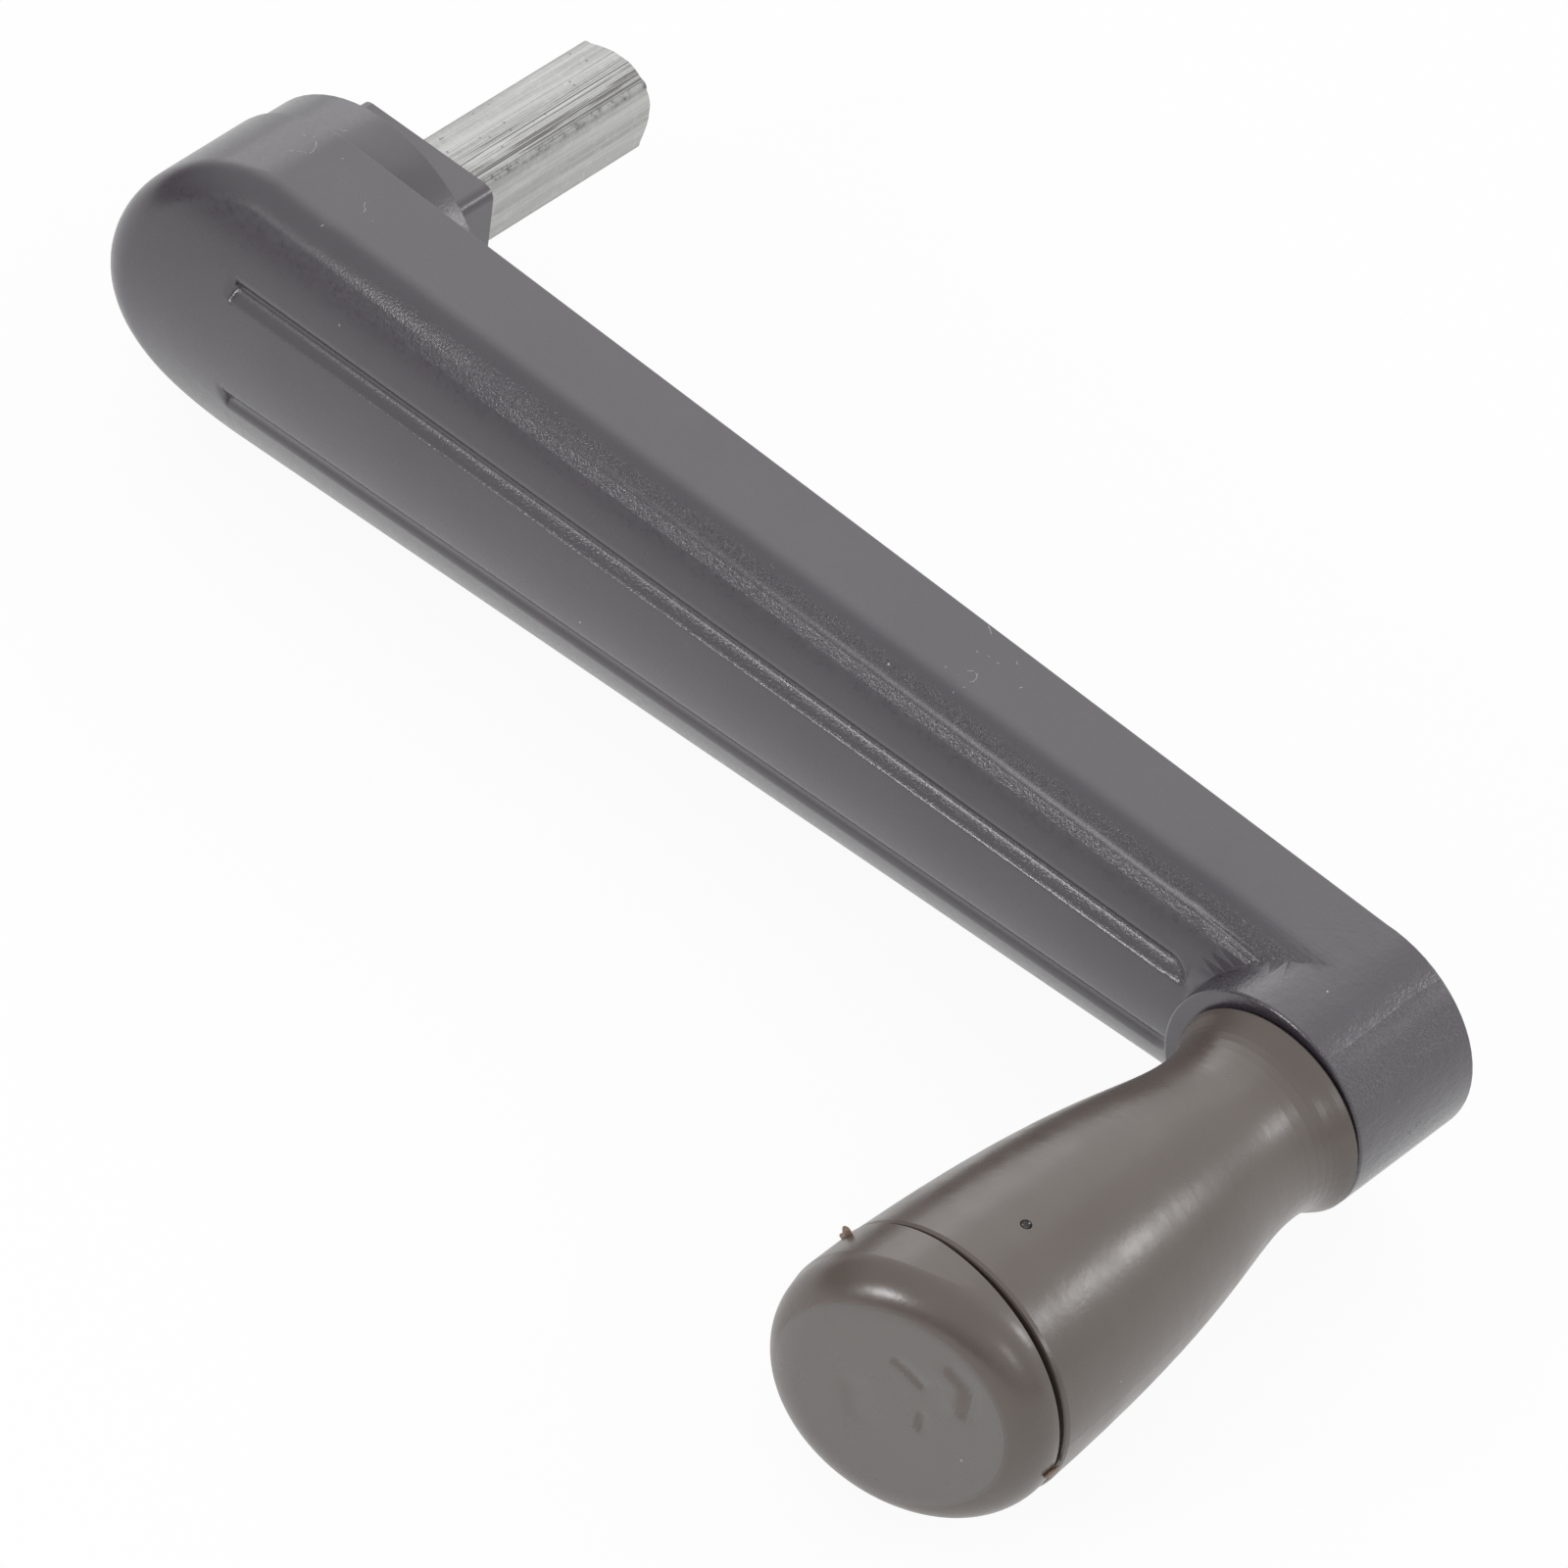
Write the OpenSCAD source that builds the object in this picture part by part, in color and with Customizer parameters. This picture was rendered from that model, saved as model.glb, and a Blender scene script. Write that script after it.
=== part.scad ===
// Crank handle: a moulded arm with a square steel drive bar at its hub and a grip that turns at its other end
// Units are millimetres. +X runs from the bar's axis to the grip's axis, +Y along the bar and away from the grip,
// +Z up. The origin is on the bar's axis, at the end face of the square boss.

/* [Arm] */
// distance between the bar's axis and the grip's axis
centre_distance = 150; // [145:0.5:155]
// back face of the arm, measured from the boss's end face
arm_back = 13.75; // [13:0.05:15]
// radius of the hub at the back edge
hub_radius = 18.55; // [18:0.1:19.5]
// radius of the grip end at the back edge
end_radius = 13.25; // [12.5:0.05:13.8]
// distance from the bar's axis to the middle of the round grip end
end_middle = 148.85; // [148:0.05:150]
// how much the round grip end leans in, per millimetre of depth
end_draft = 0.021; // [0:0.001:0.05]
// half width of the arm's straight sides where they meet the grip end
end_half_width = 13.15; // [12.5:0.05:13.5]
// how much the sides lean in, per millimetre of depth
draft = 0.012; // [0:0.001:0.03]
// depth of the crown's ridge at the hub
crown_hub = 18.45; // [17:0.1:19]
// depth of the crown's ridge at the grip end
crown_end = 14.6; // [14:0.1:16]
// radius of the crown across the arm at the hub
crown_radius_hub = 31.5; // [25:0.5:36]
// radius of the crown across the arm at the grip end
crown_radius_end = 21; // [18:0.5:28]
// rounding between the sides and the crown
corner_radius = 4.9; // [3:0.1:6]
// small rounding of the back edge
back_round = 0.3; // [0.2:0.1:1]

/* [Grooves] */
// where the two long grooves start
groove_start = 8.6; // [6:0.1:12]
// where the two long grooves end
groove_end = 132.5; // [125:0.5:138]
// half width of the raised panel where the grooves start
panel_half_start = 5.95; // [5:0.05:7]
// half width of the raised panel where the grooves end
panel_half_end = 4.05; // [3.5:0.05:5]
// height of the outer lip's inner side above the mid-plane where the grooves start
lip_start = 7.5; // [7:0.05:9]
// height of the outer lip's inner side above the mid-plane where the grooves end
lip_end = 5.2; // [5:0.05:7]
// rounding of the outer lip
lip_radius = 1.5; // [0.8:0.1:2.5]
// depth of the grooves below the panel's edge
groove_depth = 1.5; // [1:0.1:3]

/* [Hub back] */
// radius of the round collar behind the hub
collar_radius = 18.0; // [17.5:0.1:18.5]
// height of the round collar
collar_height = 6.05; // [5:0.05:7]
// side of the square boss
boss_side = 20.1; // [19.5:0.1:21]
// corner radius of the square boss
boss_corner = 1.5; // [0.8:0.1:2.5]

/* [Drive bar] */
// side of the square bar
bar_side = 10; // [9.5:0.1:10.5]
// how far the bar stands out of the boss
bar_out = 31.6; // [28:0.1:33]
// how deep the bar is seated in the hub
bar_in = 24; // [20:0.5:26]
// corner radius of the bar
bar_corner = 0.9; // [0.4:0.1:1.4]
// chamfer of the bar's end
bar_chamfer = 1.0; // [0.3:0.1:1.5]

/* [Grip] */
// depth of the gap between the arm's end and the grip's neck
neck_depth = 17.5; // [17:0.05:18]
// width of that gap
neck_gap = 0.3; // [0.2:0.05:0.5]
// radius of the grip's flange at the neck
flange_radius = 11.8; // [11:0.05:12.5]
// radius of the grip's waist
waist_radius = 10.1; // [9:0.05:11]
// distance from the flange's face to the waist
waist_length = 6.0; // [5:0.1:8]
// radius of the grip at the seam
seam_radius = 15.35; // [14:0.05:16.5]
// depth of the seam between the grip and its end cap
cap_depth = 66.6; // [65:0.1:68]
// length of the grip's bore on its pin
bore_length = 24.3; // [20:0.1:28]
// radius of the chamber that takes the cap's plug
plug_radius = 12.9; // [12:0.05:13.5]
// length of the cap's plug
plug_length = 7.5; // [5:0.1:9]
// radius of the small pit that the mould's gate left on the grip
pit_radius = 0.65; // [0.3:0.05:1]
// radius of the pin that the grip turns on
pin_radius = 4.0; // [3:0.1:5]
// radial running clearance of the grip on the pin
pin_clearance = 0.08; // [0.02:0.01:0.1]
// radius of the pin's head
head_radius = 6.8; // [6:0.1:8]
// height of the pin's head
head_height = 4.2; // [3:0.1:5]
// radius of the washer
washer_radius = 8.2; // [7.5:0.1:9]
// thickness of the washer
washer_thickness = 1.2; // [0.8:0.1:2]
// play between the grip and the washer
end_play = 0.3; // [0.1:0.05:0.5]
// depth where the pin's seat in the arm starts
pin_start = 3; // [2:0.5:6]

/* [End cap] */
// outer radius of the end cap
cap_radius = 15.45; // [15:0.05:16.5]
// rim rounding of the end cap
cap_round = 4.6; // [3.5:0.1:6]
// length of the end cap from its seam, on the grip's axis
cap_length = 8.75; // [7:0.1:12]
// open seam between the grip and the cap, on the grip's axis
seam_gap = 0.5; // [0.3:0.05:0.8]
// how much the cap sits askew, in degrees, which opens the seam towards +X
seam_tilt = 1.1; // [0:0.1:1.5]
// slope of the end face along X
cap_slope_x = 0.28; // [0:0.01:0.4]
// slope of the end face along Z
cap_slope_z = 0.065; // [0:0.01:0.4]

/* [Hidden] */
facets = 96;
// how far the askew turned form of the cap stands outside the wall that trims it
proud = 0.06;
y0 = -arm_back;
flange_depth = neck_depth + neck_gap;
floor_depth = flange_depth + bore_length;
washer_depth = floor_depth + end_play;
head_depth = washer_depth + washer_thickness;
waist_depth = flange_depth + waist_length;

function mix(a, b, t) = a + (b - a) * t;
// station along the arm, 0 at the hub and 1 at the grip's axis
function st(x) = x / centre_distance;
function half_w(x) = mix(hub_radius, end_half_width, st(x));
function ridge(x) = mix(crown_hub, crown_end, st(x));
function crown_r(x) = mix(crown_radius_hub, crown_radius_end, st(x));
// the corner's centre and the angle, from the depth direction, where the corner meets the crown
function corner_z(x) = half_w(x) - draft * 9 - corner_radius;
function crown_c(x) = ridge(x) - crown_r(x);
function meet(x) = asin(corner_z(x) / (crown_r(x) - corner_radius));
function corner_d(x) = crown_c(x) + (crown_r(x) - corner_radius) * cos(meet(x));

// half section of the arm, as [z, depth] points: back edge, side, corner, crown
function side_pts(x) = [
    [half_w(x) - back_round, 0],
    [half_w(x) - 0.13 * back_round, 0.13 * back_round],
    [half_w(x) - draft * back_round, back_round],
    [corner_z(x) + corner_radius, corner_d(x)]];
function corner_pts(x) = [for (i = [1:9]) let (a = 90 - (90 - meet(x)) * i / 9)
    [corner_z(x) + corner_radius * sin(a), corner_d(x) + corner_radius * cos(a)]];
function crown_pts(x, a0, a1, n) = [for (i = [1:n]) let (a = mix(a0, a1, i / n))
    [crown_r(x) * sin(a), crown_c(x) + crown_r(x) * cos(a)]];

// the raised panel's edge
function groove_t(x) = (x - groove_start) / (groove_end - groove_start);
function panel_z(x) = mix(panel_half_start, panel_half_end, groove_t(x));
function panel_a(x) = asin(panel_z(x) / crown_r(x));
function panel_d(x) = crown_c(x) + crown_r(x) * cos(panel_a(x));

// the lip's circle touches the crown from inside; q closes the groove as it runs out, 1 open and 0 closed
function lip_in(x, q) = mix(panel_z(x) - 1.15 * lip_radius, mix(lip_start, lip_end, groove_t(x)), q);
function lip_a(x, q) = asin((lip_in(x, q) + lip_radius) / (crown_r(x) - lip_radius));
function lip_d(x, q) = crown_c(x) + (crown_r(x) - lip_radius) * cos(lip_a(x, q));
function valley_a(x, q) = mix(lip_a(x, q), -acos((panel_d(x) - groove_depth - lip_d(x, 1)) / lip_radius), q);
function lip_pt(x, q, a) = [lip_in(x, q) + lip_radius + lip_radius * sin(a), lip_d(x, q) + lip_radius * cos(a)];
function groove_pts(x, q) = let (v = lip_pt(x, q, valley_a(x, q))) concat(
    [for (i = [1:6]) lip_pt(x, q, mix(lip_a(x, q), valley_a(x, q), i / 6))],
    [for (t = [0.8, 0.6, 0.4, 0.2]) [mix(panel_z(x), v[0], t), panel_d(x) - (panel_d(x) - v[1]) * (1 - (1 - t) * (1 - t))]],
    [[panel_z(x), panel_d(x)]]);

// half section at x: q is undef where there is no groove
function half_pts(x, q) = concat(side_pts(x), corner_pts(x),
    is_undef(q) ? concat(crown_pts(x, meet(x), lip_a(x, 1), 4), crown_pts(x, lip_a(x, 1), panel_a(x), 11))
        : concat(crown_pts(x, meet(x), lip_a(x, q), 4), groove_pts(x, q)),
    crown_pts(x, panel_a(x), 0, 6));

// one meridian of the nose, at a degrees from +Z: the crown keeps its shape across the arm and runs on to the tip
function nose_pts(a, h) = let (r = crown_r(0) / max(pow(cos(a), 2), 0.0005), m = asin(corner_z(0) / (r - corner_radius)),
    c = ridge(0) - r, cd = c + (r - corner_radius) * cos(m), rm = r * sin(m), rise = (crown_hub - crown_end) / centre_distance * sin(a))
    concat([h[0], h[1], h[2], [h[3][0], cd + rise * h[3][0]]],
        [for (i = [1:9]) let (b = 90 - (90 - m) * i / 9, q = corner_z(0) + corner_radius * sin(b))
            [q, cd + corner_radius * cos(b) + rise * q]],
        [for (k = [13:len(h) - 1]) let (q = h[k][0] / h[12][0] * rm) [q, c + sqrt(r * r - q * q) + rise * q]]);

// stations along the arm, as [x, q]
run_out = [2.6, 2.15, 1.7, 1.25, 0.85, 0.5, 0.22];
stations = concat([[0, undef], [groove_start, undef], [groove_start + 0.25, 1], [groove_end - 3, 1]],
    [for (t = run_out) [groove_end - t, sqrt(1 - pow(1 - t / 3, 2))]],
    [[groove_end, undef], [end_middle, undef]]);
nose_steps = 48;

// the arm's body in one surface: rings of the section along X, and its half turn about the bar's axis at the nose
module body_surface() {
    halves = [for (s = stations) half_pts(s[0], s[1])];
    n = len(halves[0]);
    ring = 2 * n - 1;
    count = len(stations);
    rings = [for (i = [0:count - 1]) for (j = [0:ring - 1]) let (k = j < n ? j : ring - 1 - j)
        [stations[i][0], y0 - halves[i][k][1], (j < n ? 1 : -1) * halves[i][k][0]]];
    nose = [for (m = [1:nose_steps - 1]) let (a = 180 * m / nose_steps, h = nose_pts(a, halves[0])) for (k = [0:n - 2])
        [-h[k][0] * sin(a), y0 - h[k][1], h[k][0] * cos(a)]];
    base = count * ring;
    // vertex k of meridian m of the nose; the first and last meridians are the first ring's halves
    function at(m, k) = k == n - 1 ? n - 1 : m == 0 ? k : m == nose_steps ? ring - 1 - k : base + (m - 1) * (n - 1) + k;
    faces = concat(
        [for (i = [0:count - 2]) for (j = [0:ring - 2]) let (a = i * ring + j) each
            [[a, a + ring, a + ring + 1], [a, a + ring + 1, a + 1]]],
        [for (m = [0:nose_steps - 1]) for (k = [0:n - 3]) each
            [[at(m, k), at(m, k + 1), at(m + 1, k + 1)], [at(m, k), at(m + 1, k + 1), at(m + 1, k)]]],
        [for (m = [0:nose_steps - 1]) [at(m, n - 2), n - 1, at(m + 1, n - 2)]],
        [[for (j = [ring - 1:-1:0]) (count - 1) * ring + j]],
        [[for (m = [0:nose_steps]) at(m, 0)]],
        [for (i = [0:count - 2]) let (u = i * ring, v = u + ring) each
            [[u, v - 1, v + ring - 1], [u, v + ring - 1, v]]]);
    polyhedron(points = concat(rings, nose), faces = faces);
}

// puts a revolved profile, [radius, depth], on an axis along -Y at x
module revolved(x, pts, turn = 360, start = 0) {
    translate([x, y0, 0]) rotate([90, 0, 0]) rotate([0, 0, start])
        rotate_extrude(angle = turn, $fn = facets) polygon(pts);
}

module rounded_square(side, r) {
    union() {
        square([side - 2 * r, side], center = true);
        square([side, side - 2 * r], center = true);
        for (i = [-1, 1], j = [-1, 1]) translate([i * (side / 2 - r), j * (side / 2 - r)]) circle(r, $fn = 32);
    }
}

// one cell of the cored back, a trapezium with small cut corners
module cell(xa, xb, inner, wall, deep) {
    c = 1.2;
    za = half_w(xa) - wall;
    zb = half_w(xb) - wall;
    translate([0, y0 + 1, 0]) rotate([90, 0, 0]) linear_extrude(height = deep + 1)
        polygon([[xa + c, inner], [xb - c, inner], [xb, inner + c], [xb, zb - c], [xb - c, zb],
            [xa + c, za], [xa, za - c], [xa, inner + c]]);
}

module arm() {
    boss_r = end_radius;
    front_r = end_radius - end_draft * neck_depth;
    color([0.16, 0.155, 0.165]) difference() {
        union() {
            body_surface();
            // round boss that faces the grip
            revolved(end_middle, [[0, 0], [boss_r - back_round, 0],
                [boss_r - 0.13 * back_round, 0.13 * back_round], [boss_r - end_draft * back_round, back_round],
                [front_r, neck_depth - 0.3], [front_r - 0.09, neck_depth - 0.09], [front_r - 0.3, neck_depth], [0, neck_depth]]);
            // collar and square boss behind the hub
            translate([0, y0 + collar_height, 0]) rotate([90, 0, 0]) rotate_extrude($fn = facets)
                polygon([[0, 0], [collar_radius - 0.3, 0], [collar_radius - 0.09, 0.09], [collar_radius, 0.3],
                    [collar_radius, collar_height + 1], [0, collar_height + 1]]);
            translate([0, 0, 0]) rotate([90, 0, 0]) linear_extrude(height = arm_back + 1)
                rounded_square(boss_side, boss_corner);
        }
        // seat of the bar
        translate([0, 1, 0]) rotate([90, 0, 0]) linear_extrude(height = bar_in + 1) rounded_square(bar_side, bar_corner);
        // seat of the grip's pin
        translate([centre_distance, y0 - pin_start, 0]) rotate([90, 0, 0]) cylinder(r = pin_radius, h = 30, $fn = 48);
        // cored back with ribs
        for (s = [0, 1]) mirror([0, 0, s]) {
            for (i = [0:5]) cell(24.5 + 18.2 * i, 24.5 + 18.2 * (i + 1) - 1.9, 1, 3.1, 9.6);
        }
    }
}

module drive_bar() {
    full = bar_in + bar_out - bar_chamfer;
    color([0.62, 0.62, 0.63]) union() {
        translate([0, -bar_in + full, 0]) rotate([90, 0, 0]) linear_extrude(height = full) rounded_square(bar_side, bar_corner);
        translate([0, bar_out, 0]) rotate([90, 0, 0]) intersection() {
            linear_extrude(height = bar_chamfer + 0.5) rounded_square(bar_side, bar_corner);
            cylinder(r1 = bar_side * 0.5 + 0.1, r2 = bar_side * 0.5 + 0.1 + (bar_chamfer + 0.5) * 1.25, h = bar_chamfer + 0.5, $fn = 64);
        }
    }
}

module grip_pin() {
    color([0.55, 0.55, 0.56]) difference() {
        revolved(centre_distance, [[0, pin_start], [pin_radius - 0.5, pin_start], [pin_radius, pin_start + 0.5],
            [pin_radius, head_depth], [head_radius, head_depth], [head_radius, head_depth + head_height - 0.6],
            [head_radius - 0.6, head_depth + head_height], [0, head_depth + head_height]]);
        // hexagon socket
        translate([centre_distance, y0 - head_depth - head_height * 0.4, 0]) rotate([90, 0, 0])
            cylinder(r = head_radius * 0.43, h = head_height, $fn = 6);
    }
}

module pin_washer() {
    color([0.6, 0.6, 0.6]) translate([centre_distance, y0 - washer_depth, 0]) rotate([90, 0, 0]) difference() {
        cylinder(r = washer_radius, h = washer_thickness, $fn = 64);
        translate([0, 0, -1]) cylinder(r = pin_radius, h = washer_thickness + 2, $fn = 64);
    }
}

// points of a cubic curve through four control points, without its first point
function cubic(a, b, c, d, n) = [for (i = [1:n]) let (t = i / n, u = 1 - t)
    a * pow(u, 3) + b * 3 * t * u * u + c * 3 * t * t * u + d * pow(t, 3)];

// outer profile of the grip, [radius, depth]: the flange's curve into the waist, then the long swell to the seam
grip_end = cap_depth - 0.5;
flange_edge = [flange_radius, flange_depth + 0.3];
waist = [waist_radius, waist_depth];
grip_curve = concat([flange_edge],
    cubic(flange_edge, [mix(waist_radius, flange_radius, 0.6), mix(flange_depth, waist_depth, 0.3)],
        [waist_radius, mix(flange_depth, waist_depth, 0.37)], waist, 7),
    cubic(waist, [waist_radius, mix(waist_depth, grip_end, 0.185)],
        [mix(waist_radius, seam_radius, 0.75), mix(waist_depth, grip_end, 0.295)], [seam_radius, grip_end], 20));

module grip_sleeve() {
    bore = pin_radius + pin_clearance;
    color([0.24, 0.215, 0.205]) difference() {
        revolved(centre_distance, concat(
            [[bore, flange_depth], [flange_radius - 0.35, flange_depth], [flange_radius - 0.1, flange_depth + 0.1]], grip_curve,
            [[seam_radius - 0.15, cap_depth - 0.12], [seam_radius - 0.4, cap_depth], [plug_radius + 0.2, cap_depth],
            [plug_radius, cap_depth - 0.3], [plug_radius, mix(floor_depth, cap_depth, 0.6)],
            [mix(washer_radius, plug_radius, 0.6), mix(floor_depth, cap_depth, 0.3)],
            [mix(washer_radius, plug_radius, 0.3), floor_depth], [bore, floor_depth]]));
        // pit of the gate, near the seam on the upper side
        translate([centre_distance, y0 - cap_depth + 7.6, 0]) rotate([0, 3.8, 0]) translate([0, 0, seam_radius - 0.2])
            sphere(pit_radius, $fn = 24);
    }
}

module end_cap() {
    n = [cap_slope_x, -1, cap_slope_z];
    m = n / norm(n);
    core = cap_length - cap_round;
    color([0.235, 0.21, 0.2]) difference() {
        union() {
            difference() {
                intersection() {
                    translate([centre_distance, y0 - cap_depth - core, 0]) rotate([0, acos(m[2]), atan2(m[1], m[0])])
                        rotate_extrude($fn = facets) union() {
                            translate([0, -0.9 * cap_radius]) square([cap_radius + proud, 0.9 * cap_radius]);
                            square([cap_radius - cap_round, cap_round + proud]);
                            intersection() {
                                translate([cap_radius - cap_round, 0]) circle(cap_round + proud, $fn = 64);
                                translate([cap_radius - cap_round, 0]) square(cap_round + proud);
                            }
                        }
                    translate([centre_distance, y0 - cap_depth, 0]) rotate([90, 0, 0])
                        cylinder(r = cap_radius, h = cap_length + cap_radius, $fn = facets);
                }
                // the open seam
                translate([centre_distance, y0 - cap_depth - seam_gap, 0]) rotate([0, 0, -seam_tilt])
                    translate([-2 * cap_radius, 0, -2 * cap_radius]) cube([4 * cap_radius, cap_radius, 4 * cap_radius]);
            }
            // plug that snaps into the grip
            translate([centre_distance, y0 - cap_depth + plug_length, 0]) rotate([90, 0, 0])
                cylinder(r = plug_radius, h = plug_length + seam_gap + 1, $fn = facets);
        }
        translate([centre_distance, y0 - cap_depth + plug_length + 1, 0]) rotate([90, 0, 0])
            cylinder(r = plug_radius - 1.7, h = plug_length + 4, $fn = facets);
    }
}

arm();
drive_bar();
grip_pin();
pin_washer();
grip_sleeve();
end_cap();
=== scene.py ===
# Crank handle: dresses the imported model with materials, light and a camera
import math
import random

import bmesh
import bpy
from mathutils import Matrix, Vector
from mathutils.bvhtree import BVHTree
from mathutils.kdtree import KDTree


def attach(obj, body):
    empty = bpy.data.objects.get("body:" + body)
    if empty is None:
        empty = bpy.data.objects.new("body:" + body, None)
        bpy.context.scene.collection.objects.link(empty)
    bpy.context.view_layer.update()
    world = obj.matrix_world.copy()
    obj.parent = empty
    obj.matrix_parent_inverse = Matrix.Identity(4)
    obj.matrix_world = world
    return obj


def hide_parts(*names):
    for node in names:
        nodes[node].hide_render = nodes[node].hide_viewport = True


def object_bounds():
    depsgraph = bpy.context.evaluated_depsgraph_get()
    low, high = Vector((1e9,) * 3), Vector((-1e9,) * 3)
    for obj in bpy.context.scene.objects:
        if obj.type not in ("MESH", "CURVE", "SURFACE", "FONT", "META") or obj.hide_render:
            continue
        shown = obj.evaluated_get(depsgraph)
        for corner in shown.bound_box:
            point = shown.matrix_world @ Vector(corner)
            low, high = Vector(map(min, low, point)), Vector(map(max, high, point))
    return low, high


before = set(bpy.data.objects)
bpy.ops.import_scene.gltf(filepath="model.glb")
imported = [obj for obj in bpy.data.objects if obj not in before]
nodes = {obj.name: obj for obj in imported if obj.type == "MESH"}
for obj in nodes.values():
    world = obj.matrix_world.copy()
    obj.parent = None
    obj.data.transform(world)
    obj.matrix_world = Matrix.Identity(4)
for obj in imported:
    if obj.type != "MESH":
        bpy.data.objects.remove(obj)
cad_lo, cad_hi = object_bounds()
MM = 0.001
# vertices closer than this are one, in metres
WELD = 2e-6
# side of the photograph's frame in pixels
FRAME = 1600

# the camera's azimuth, elevation and roll in degrees, and its place in metres
CAMERA_ANGLES = (36.113, 45.173, 9.026)
CAMERA_PLACE = (0.43324, -0.50993, 0.59173)


# camera at the photograph's viewing angle
def make_camera():
    az, el, roll = (math.radians(a) for a in CAMERA_ANGLES)
    right = Vector((math.cos(az), math.sin(az), 0))
    back = Vector((math.sin(az) * math.cos(el), -math.cos(az) * math.cos(el), math.sin(el)))
    up = back.cross(right)
    x_axis = right * math.cos(roll) + up * math.sin(roll)
    y_axis = -right * math.sin(roll) + up * math.cos(roll)
    data = bpy.data.cameras.new("camera")
    data.sensor_fit = "HORIZONTAL"
    data.sensor_width = 36
    data.lens = 185.1
    data.clip_start = 0.05
    data.clip_end = 20
    camera = bpy.data.objects.new("camera", data)
    bpy.context.collection.objects.link(camera)
    turn = Matrix((x_axis, y_axis, back)).transposed().to_4x4()
    camera.matrix_world = Matrix.Translation(CAMERA_PLACE) @ turn
    bpy.context.scene.camera = camera


def link(tree, a, b):
    tree.links.new(a, b)


# the emptied node tree of a material or the world
def empty_tree(owner):
    owner.use_nodes = True
    owner.node_tree.nodes.clear()
    return owner.node_tree


# a material with its shader, output and object coordinates
def material(name):
    mat = bpy.data.materials.new(name)
    tree = empty_tree(mat)
    out = tree.nodes.new("ShaderNodeOutputMaterial")
    shader = tree.nodes.new("ShaderNodeBsdfPrincipled")
    coords = tree.nodes.new("ShaderNodeTexCoord")
    link(tree, shader.outputs[0], out.inputs[0])
    return mat, tree, shader, coords.outputs["Object"]


def noise(tree, vector, scale, detail=2.0, rough=0.5, stretch=None):
    if stretch:
        m = tree.nodes.new("ShaderNodeMapping")
        m.inputs["Scale"].default_value = stretch
        link(tree, vector, m.inputs["Vector"])
        vector = m.outputs[0]
    n = tree.nodes.new("ShaderNodeTexNoise")
    n.inputs["Scale"].default_value = scale
    n.inputs["Detail"].default_value = detail
    n.inputs["Roughness"].default_value = rough
    link(tree, vector, n.inputs["Vector"])
    return n.outputs[0]


# takes fac from a to b over to lo to hi, and holds it past both ends
def ramp(tree, fac, a, b, lo=0.0, hi=1.0, smooth=True):
    n = tree.nodes.new("ShaderNodeMapRange")
    n.interpolation_type = "SMOOTHSTEP" if smooth else "LINEAR"
    n.inputs["From Min"].default_value = a
    n.inputs["From Max"].default_value = b
    n.inputs["To Min"].default_value = lo
    n.inputs["To Max"].default_value = hi
    link(tree, fac, n.inputs["Value"])
    return n.outputs[0]


def math_node(tree, kind, a, b):
    n = tree.nodes.new("ShaderNodeMath")
    n.operation = kind
    for i, v in enumerate((a, b)):
        if isinstance(v, (int, float)):
            n.inputs[i].default_value = v
        else:
            link(tree, v, n.inputs[i])
    return n.outputs[0]


def times(tree, a, b):
    return math_node(tree, "MULTIPLY", a, b)


def mix_color(tree, fac, a, b):
    n = tree.nodes.new("ShaderNodeMix")
    n.data_type = "RGBA"
    for socket, v in ((n.inputs[0], fac), (n.inputs[6], a), (n.inputs[7], b)):
        if isinstance(v, tuple):
            socket.default_value = (*v, 1)
        else:
            link(tree, v, socket)
    return n.outputs[2]


def bump(tree, height, strength, distance, normal=None):
    n = tree.nodes.new("ShaderNodeBump")
    n.inputs["Strength"].default_value = strength
    n.inputs["Distance"].default_value = distance
    link(tree, height, n.inputs["Height"])
    if normal:
        link(tree, normal, n.inputs["Normal"])
    return n.outputs[0]


# one part of a vector or colour
def sep(tree, vector, k):
    n = tree.nodes.new("ShaderNodeSeparateXYZ")
    link(tree, vector, n.inputs[0])
    return n.outputs[k]


# small specks: cells of a fine lattice whose random value is above a limit
def specks(tree, vector, scale, limit, size):
    v = tree.nodes.new("ShaderNodeTexVoronoi")
    v.inputs["Scale"].default_value = scale
    link(tree, vector, v.inputs["Vector"])
    keep = math_node(tree, "GREATER_THAN", sep(tree, v.outputs["Color"], 0), limit)
    near = ramp(tree, v.outputs["Distance"], size, size * 0.5)
    return times(tree, keep, near)


# one part of the surface's own direction
def facing(tree, k):
    geo = tree.nodes.new("ShaderNodeNewGeometry")
    return sep(tree, geo.outputs["True Normal"], k)


# 1 where the surface's own direction points up by between lo and hi, with soft ends
def band(tree, lo, hi, soft):
    up = facing(tree, 2)
    above = ramp(tree, up, lo - soft, lo + soft)
    return times(tree, above, ramp(tree, up, hi + soft, hi - soft))


# satin plastic, with a fine grain along the upper corner and the panel's upper edge;
# the grain fades toward the arm's middle and the hub, and the round end is worn, at these places in metres
GRAIN_Z = (0.0065, 0.0085)
GRAIN_X = (0.004, 0.06)
WORN_X = (0.1395, 0.146)


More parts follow.
